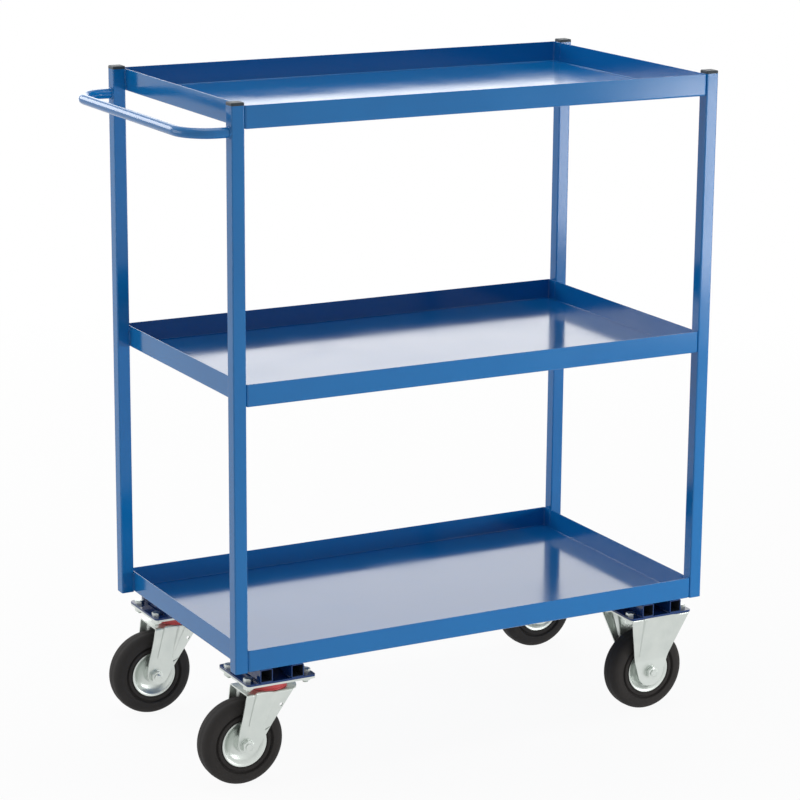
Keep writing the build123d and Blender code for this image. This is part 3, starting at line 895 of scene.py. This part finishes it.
# Fixed forks: sizes along X from the plate's middle, and where the plate's corners are clipped.
fixed_x = [x * mm for x in (-52, -32, -22, 22, 32, 52)]
fixed_y = [y * mm for y in (-51, -51, -43, -43, -51, -51)]
fixed_end_r = 23 * mm
corner_y = -44 * mm
for side in sides:
    low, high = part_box(f"fixed_fork_{side}")
    plate_end = (high.x - low.x) / 2
    plate_middle = Vector(((low.x + high.x) / 2, (low.y + high.y) / 2, 0))
    fork = bmesh.new()
    top_line = [Vector((x, y, high.z)) for x, y in zip(fixed_x, fixed_y)]
    end_middle = Vector((0, -leg_web, axle_z))
    back, front, top = pressed_leg(fork, top_line, (fixed_x[2], fixed_x[3]), end_middle, fixed_end_r)
    plate_line = ((plate_end, corner_y), (plate_end, 0), (-plate_end, 0), (-plate_end, corner_y))
    outline = [front, *(fork.verts.new((x, y, high.z)) for x, y in plate_line), back]
    links = [fork.edges.new(pair) for pair in zip(outline, outline[1:])]
    bmesh.ops.contextual_create(fork, geom=top + links)
    pressed_sheet(fork, plate_middle)
    add_piece(f"pressed_fork_fixed_{side}", fork, zinc_plate, "zinc_steel", "frame", f"fixed_fork_{side}")


# Tyres: solid rubber rings moulded with round shoulders, a groove round each side and a thin flash line
# where the mould's halves met. Each is stretched on and held between the two discs of its rim. Names in _r
# are radii, and names in _a are distances from the wheel's middle plane.
rubber_black = "#201F1F"
rubber_bloom = "#322F2D"
bloom_cloud = 30 * mm
rubber_pore = 1.5 * mm
low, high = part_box("tyre_fixed_right")
foot_r, foot_a = 23.6 * mm, 8.65 * mm
seat_start_r, seat_end_r, seat_a = 33.6 * mm, 36.6 * mm, 15.5 * mm
band_start_r, band_end_r, band_a = 38 * mm, 42 * mm, 17.3 * mm
groove_start_r, groove_end_r, groove_a = 43.4 * mm, 45 * mm, 14.5 * mm
wall_r, wall_a = 46.8 * mm, (high.y - low.y) / 2
flash_r, flash_foot_a, flash_tip_a = (high.z - low.z) / 2, 1 * mm, 0.4 * mm
tread_r = flash_r - 0.4 * mm
edge_round = (1 * mm, 4)
shoulder_round = (12 * mm, 12)
tyre_steps = 96

# Black rubber: dull and nearly black, with a faint grey bloom in clouds and a skin of pores, drawn some five
# times as coarse as they are, that scatters light softly.
rubber, tree = new_finish("black_rubber")
place = add_node(tree, "ShaderNodeTexCoord").outputs["Object"]
bloom = add_node(tree, "ShaderNodeTexNoise", {"Vector": place, "Scale": 1 / bloom_cloud, "Detail": 5})
pores = add_node(tree, "ShaderNodeTexNoise", {"Vector": place, "Scale": 1 / rubber_pore, "Detail": 2})
shade = add_node(
    tree,
    "ShaderNodeMix",
    {0: bloom.outputs["Fac"], 6: linear(rubber_black), 7: linear(rubber_bloom)},
    data_type="RGBA",
)
skin = add_node(
    tree, "ShaderNodeBump", {"Height": pores.outputs["Fac"], "Strength": 0.3, "Distance": 0.05 * mm}
)
hide = add_node(
    tree,
    "ShaderNodeBsdfPrincipled",
    {"Base Color": shade.outputs[2], "Roughness": 0.8, "IOR": 1.4, "Normal": skin.outputs["Normal"]},
)
add_node(tree, "ShaderNodeOutputMaterial", {"Surface": hide.outputs["BSDF"]})
half_line = [
    (foot_r, foot_a),
    (seat_start_r, seat_a),
    (seat_end_r, seat_a),
    (band_start_r, band_a),
    (band_end_r, band_a),
    (groove_start_r, groove_a),
    (groove_end_r, groove_a),
    (wall_r, wall_a),
    (tread_r, wall_a),
    (tread_r, flash_foot_a),
    (flash_r, flash_tip_a),
]
tyre_line = [(foot_r, 0), *half_line, *[(r, -a) for r, a in reversed(half_line)], (foot_r, 0)]
tyre_rounds = {}
for number, size in ((4, edge_round), (5, edge_round), (8, edge_round), (9, shoulder_round)):
    tyre_rounds[number] = size
    tyre_rounds[len(tyre_line) - 1 - number] = size


def on_axle(mesh, middle):
    """Lays a turned mesh along an axle, with its foot towards the right."""
    lay = Matrix.Translation(middle) @ Matrix.Rotation(-math.pi / 2, 4, "X")
    bmesh.ops.transform(mesh, matrix=lay, verts=mesh.verts[:])
    return mesh


for castor in castors:
    tyre = on_axle(turned(tyre_line, tyre_steps, tyre_rounds), axles[castor])
    add_piece(f"tyre_ring_{castor}", tyre, rubber, "tyre_rubber", f"wheel_{castor}", f"tyre_{castor}")


# Rims: two discs dished from zinc-plated sheet, with their lips rolled over the tyre's foot. Both are welded
# to a short hub tube.
hub_r = 14 * mm
hub_steps = 40
hub_edge = (0.5 * mm, 2)
bore_r = 12.05 * mm
rim_sheet = 1.8 * mm
disc_steps = 72
disc_hole_r, disc_start_r = 13.5 * mm, 17 * mm
dish_r, dish_a = 23 * mm, 10.5 * mm
lip_foot_r, lip_r, lip_a = 33 * mm, 35.6 * mm, 17.4 * mm
inside_shift = 0.56 * mm
disc_line = [
    (disc_start_r, dish_a),
    (dish_r, dish_a),
    (lip_foot_r, lip_a),
    (lip_r, lip_a),
    (lip_r, lip_a - rim_sheet),
    (lip_foot_r + inside_shift, lip_a - rim_sheet),
    (dish_r + inside_shift, dish_a - rim_sheet),
    (disc_hole_r, dish_a - rim_sheet),
    (disc_hole_r, dish_a),
    (disc_start_r, dish_a),
]
disc_rounds = {
    1: (5.5 * mm, 6),
    2: (2.4 * mm, 5),
    3: (0.8 * mm, 3),
    4: (0.6 * mm, 3),
    5: (2 * mm, 4),
    6: (5 * mm, 5),
}
for castor in castors:
    low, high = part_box(f"rim_{castor}")
    half_hub = (high.y - low.y) / 2
    hub_line = [
        (hub_r, 0),
        (hub_r, half_hub),
        (bore_r, half_hub),
        (bore_r, -half_hub),
        (hub_r, -half_hub),
        (hub_r, 0),
    ]
    near = turned(disc_line, disc_steps, disc_rounds)
    far = turned([(r, -a) for r, a in disc_line], disc_steps, disc_rounds)
    hub = turned(hub_line, hub_steps, {1: hub_edge, 4: hub_edge})
    rim = on_axle(joined([near, far, hub]), axles[castor])
    add_piece(f"rim_discs_{castor}", rim, zinc_plate, "zinc_steel", f"wheel_{castor}", f"rim_{castor}")


# Bushes and axle sleeves: a moulded plastic bush pressed into each hub, turning on a plain steel sleeve that
# the axle bolt clamps between the fork's legs.
nylon_cream = "#CBC6B6"
nylon_stained = "#BAB4A2"
nylon_mottle = 5 * mm

# Natural nylon: creamy white and waxy, with slow stains.
bush_plastic, tree = new_finish("natural_nylon")
place = add_node(tree, "ShaderNodeTexCoord").outputs["Object"]
mottle = add_node(tree, "ShaderNodeTexNoise", {"Vector": place, "Scale": 1 / nylon_mottle, "Detail": 3})
shade = add_node(
    tree,
    "ShaderNodeMix",
    {0: mottle.outputs["Fac"], 6: linear(nylon_cream), 7: linear(nylon_stained)},
    data_type="RGBA",
)
plastic = add_node(
    tree, "ShaderNodeBsdfPrincipled", {"Base Color": shade.outputs[2], "Roughness": 0.45, "IOR": 1.53}
)
add_node(tree, "ShaderNodeOutputMaterial", {"Surface": plastic.outputs["BSDF"]})
for castor in castors:
    carry_over(f"bush_{castor}", bush_plastic)
    carry_over(f"axle_sleeve_{castor}", zinc_plate)


# Axle bolts and nuts: zinc-plated M10 hexagon bolts through both legs and the sleeve, with a washer and a
# nut on the right-hand side.
axle_flats = 17 * mm
axle_r = 5 * mm
axle_pitch = 1.5 * mm
axle_seat = 25.05 * mm
axle_head = 6.4 * mm
axle_nut = 8 * mm
axle_end = 3 * mm
shank_steps = 24
axle_washer = 1.5 * mm
washer_r, washer_middle_r = 10.5 * mm, 8 * mm
washer_edge = (0.3 * mm, 2)
washer_steps = 40
shank_line = [(0, -axle_seat), (axle_r, -axle_seat), (axle_r, axle_seat), (0, axle_seat)]
washer_line = [
    (washer_middle_r, -axle_seat),
    (washer_r, -axle_seat),
    (washer_r, -axle_seat - axle_washer),
    (axle_r, -axle_seat - axle_washer),
    (axle_r, -axle_seat),
    (washer_middle_r, -axle_seat),
]
for name, body, carried in (
    ("swivel_right", "swivel_fork_right", castors[:1]),
    ("swivel_left", "swivel_fork_left", castors[1:2]),
    ("fixed", "frame", castors[2:]),
):
    bolts, nuts = [], []
    for castor in carried:
        screw = [
            hexagon(axle_flats, axle_seat, axle_seat + axle_head, chamfered_foot=False),
            turned(shank_line, shank_steps),
            thread(axle_r, axle_pitch, -axle_seat - axle_nut - axle_end, -axle_seat),
        ]
        bolts.append(on_axle(joined(screw), axles[castor]))
        clamped = [
            turned(washer_line, washer_steps, {1: washer_edge, 2: washer_edge}),
            hexagon(axle_flats, -axle_seat - axle_nut, -axle_seat - axle_washer),
        ]
        nuts.append(on_axle(joined(clamped), axles[castor]))
    add_piece(f"axle_screw_{name}", joined(bolts), zinc_plate, "zinc_steel", body, f"axle_bolt_{name}")
    add_piece(f"axle_washer_nut_{name}", joined(nuts), zinc_plate, "zinc_steel", body, f"axle_nut_{name}")


# Studio: a wide pale floor that keeps the trolley's shadow, a white surround and seven soft lamps. Three of
# them stand low in front, where the tray floors don't mirror them, and four hang above, beside and behind.
floor_pale = "#F0F0F0"
floor_half = 40
pale_within, white_beyond = 0.6, 3.0
white_share = 0.94
soft_light = 0.2


def seen_share(tree, share):
    """A factor that is a share for camera, glossy and transmission rays, and 0 for light on things."""
    path = add_node(tree, "ShaderNodeLightPath").outputs
    seen = add_node(
        tree, "ShaderNodeMath", {0: path["Is Camera Ray"], 1: path["Is Glossy Ray"]}, operation="MAXIMUM"
    )
    seen = add_node(
        tree, "ShaderNodeMath", {0: seen.outputs[0], 1: path["Is Transmission Ray"]}, operation="MAXIMUM"
    )
    return add_node(tree, "ShaderNodeMath", {0: seen.outputs[0], 1: share}, operation="MULTIPLY").outputs[0]


# Pale floor: matt paint round the trolley, where its shadow shows, that passes into the white surround.
surround, tree = new_finish("pale_floor")
place = add_node(tree, "ShaderNodeTexCoord").outputs["Object"]
away = add_node(tree, "ShaderNodeVectorMath", {0: place}, operation="LENGTH").outputs["Value"]
fade = add_node(
    tree,
    "ShaderNodeMapRange",
    {"Value": away, "From Min": pale_within, "From Max": white_beyond, "To Min": white_share, "To Max": 1.0},
)
matt = add_node(tree, "ShaderNodeBsdfDiffuse", {"Color": linear(floor_pale)})
white = add_node(tree, "ShaderNodeEmission", {"Strength": 1.0})
floor_look = add_node(
    tree,
    "ShaderNodeMixShader",
    {0: seen_share(tree, fade.outputs["Result"]), 1: matt.outputs["BSDF"], 2: white.outputs["Emission"]},
)
add_node(tree, "ShaderNodeOutputMaterial", {"Surface": floor_look.outputs["Shader"]})
ground = bmesh.new()
bmesh.ops.create_grid(ground, x_segments=1, y_segments=1, size=floor_half)
data = bpy.data.meshes.new("studio_floor")
ground.to_mesh(data)
ground.free()
data.materials.append(surround)
studio_floor = bpy.data.objects.new("studio_floor", data)
bpy.context.scene.collection.objects.link(studio_floor)

world = bpy.data.worlds.new("white_studio")
world.use_nodes = True
bpy.context.scene.world = world
tree = world.node_tree
tree.nodes.clear()
soft = add_node(tree, "ShaderNodeBackground", {"Color": (1, 1, 1, 1), "Strength": soft_light})
white = add_node(tree, "ShaderNodeBackground", {"Color": (1, 1, 1, 1), "Strength": 1.0})
sky = add_node(
    tree,
    "ShaderNodeMixShader",
    {0: seen_share(tree, 1.0), 1: soft.outputs["Background"], 2: white.outputs["Background"]},
)
add_node(tree, "ShaderNodeOutputWorld", {"Surface": sky.outputs["Shader"]})

# Lamps: where each hangs, its width and height, its power, and whether glossy paint and zinc mirror it.
trolley_middle = Vector((0, 0, 0.5))
lamp_spread = math.radians(130)
for name, spot, wide, tall, power, mirrored in (
    ("key_lamp", (2.08, -2.29, 0.42), 0.7, 0.6, 6, True),
    ("fill_lamp", (1.5, -1.6, 0.25), 0.9, 0.4, 7, False),
    ("front_lamp", (-0.4, -2.6, 0.2), 3.2, 0.4, 8.5, False),
    ("top_lamp", (0.0, 0.0, 3.0), 2.0, 2.0, 18, True),
    ("back_lamp", (1.7, 3.8, 1.3), 4.5, 2.4, 25, True),
    ("side_lamp", (-2.2, 0.8, 1.0), 1.4, 1.4, 7, True),
    ("rim_lamp", (-1.3, 2.7, 1.75), 1.2, 1.2, 11, True),
):
    lamp = bpy.data.lights.new(name, "AREA")
    lamp.shape = "RECTANGLE"
    lamp.size, lamp.size_y = wide, tall
    lamp.energy = power
    lamp.spread = lamp_spread
    hung = bpy.data.objects.new(name, lamp)
    hung.location = spot
    hung.rotation_euler = (trolley_middle - Vector(spot)).to_track_quat("-Z", "Y").to_euler()
    hung.visible_camera = False
    hung.visible_glossy = mirrored
    bpy.context.scene.collection.objects.link(hung)

# Camera: at the photograph's viewing angle, slightly above the top tray, with a long lens. Its spot in
# metres, its angles in radians and its lens in millimetres are fitted to the trolley's corners.
camera_spot = (-1.96732, -3.69606, 1.56589)
turn, tilt, roll = 0.4925, 0.2485, 0.0074
eye = bpy.data.cameras.new("camera")
eye.lens = 126.774
eye.sensor_width = 36
camera = bpy.data.objects.new("camera", eye)
camera.matrix_world = (
    Matrix.Translation(camera_spot)
    @ Matrix.Rotation(-turn, 4, "Z")
    @ Matrix.Rotation(math.pi / 2 - tilt, 4, "X")
    @ Matrix.Rotation(roll, 4, "Z")
)
bpy.context.scene.collection.objects.link(camera)
bpy.context.scene.camera = camera
bpy.context.scene.view_settings.view_transform = "Standard"
